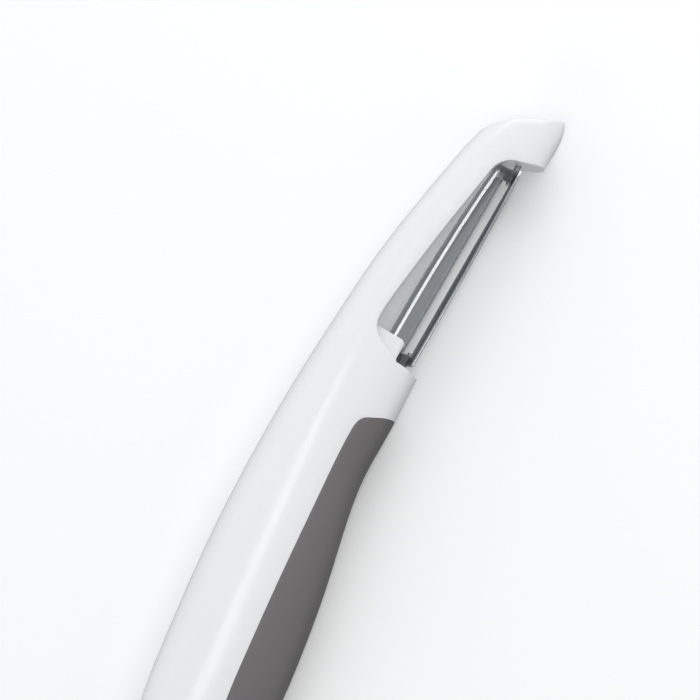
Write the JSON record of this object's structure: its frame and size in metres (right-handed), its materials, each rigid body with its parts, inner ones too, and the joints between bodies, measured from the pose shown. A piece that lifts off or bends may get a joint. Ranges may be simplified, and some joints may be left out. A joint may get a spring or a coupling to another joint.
{
  "type": "vegetable peeler",
  "caption": "Hand peeler with a moulded body, soft grip inlay, hooked nose and a slotted steel blade that swivels between hook and handle.",
  "frame": {"origin": "centre of the hanging hole, on the middle plane of the body", "axes": "+X along the peeler towards the nose, +Y towards the spine, +Z out of the front face"},
  "size_m": [0.1946, 0.0361, 0.0196],
  "materials": {
    "body_plastic": "glossy white moulded plastic",
    "block_plastic": "satin white moulded plastic",
    "carrier_plastic": "plain dark moulded plastic",
    "grip_rubber": "matte mid-grey soft-touch rubber",
    "blade_steel": "bright rolled stainless steel with ground cutting edges",
    "pin_steel": "drawn stainless steel wire"
  },
  "bodies": {
    "handle": {"frame_body": "body_plastic", "pivot_block": "block_plastic", "grip_carrier": "carrier_plastic", "grip_skin": "grip_rubber"},
    "blade": {"swivel_blade": "blade_steel", "upper_pivot_pin": "pin_steel", "lower_pivot_pin": "pin_steel"}
  },
  "joints": [
    {"name": "blade_swing", "type": "hinge", "parent": "handle", "child": "blade", "pos_m": [0.112, 0.003, 0], "axis": [-1, 0, 0], "range_deg": [0, 50]}
  ]
}
